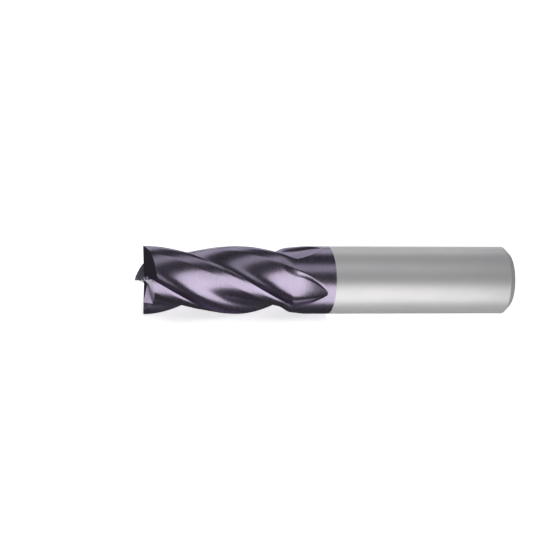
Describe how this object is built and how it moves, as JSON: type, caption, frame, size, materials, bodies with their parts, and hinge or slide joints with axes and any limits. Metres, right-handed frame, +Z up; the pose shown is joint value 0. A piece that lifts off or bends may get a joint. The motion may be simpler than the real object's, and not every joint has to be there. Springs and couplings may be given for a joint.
{
  "type": "end mill",
  "caption": "Square-end solid carbide end mill with right-hand helical flutes, a dark coated cutting half and a plain ground cylindrical shank.",
  "frame": {"origin": "centre of the shank's rear face", "axes": "the tool's axis lies along X, +X points out of the shank's rear face, the cutting end points to -X, +Z up"},
  "size_m": [0.09, 0.016, 0.016],
  "materials": {
    "ground_carbide": "fine ground carbide, bright silver with faint circumferential marks",
    "coating": "glossy violet-black PVD film over ground carbide"
  },
  "bodies": {
    "root": {"shank": "ground_carbide", "shank_front": "coating", "flute_runout": "coating", "web": "coating", "tooth_1": "coating", "tooth_2": "coating", "tooth_3": "coating", "tooth_4": "coating"}
  },
  "joints": []
}
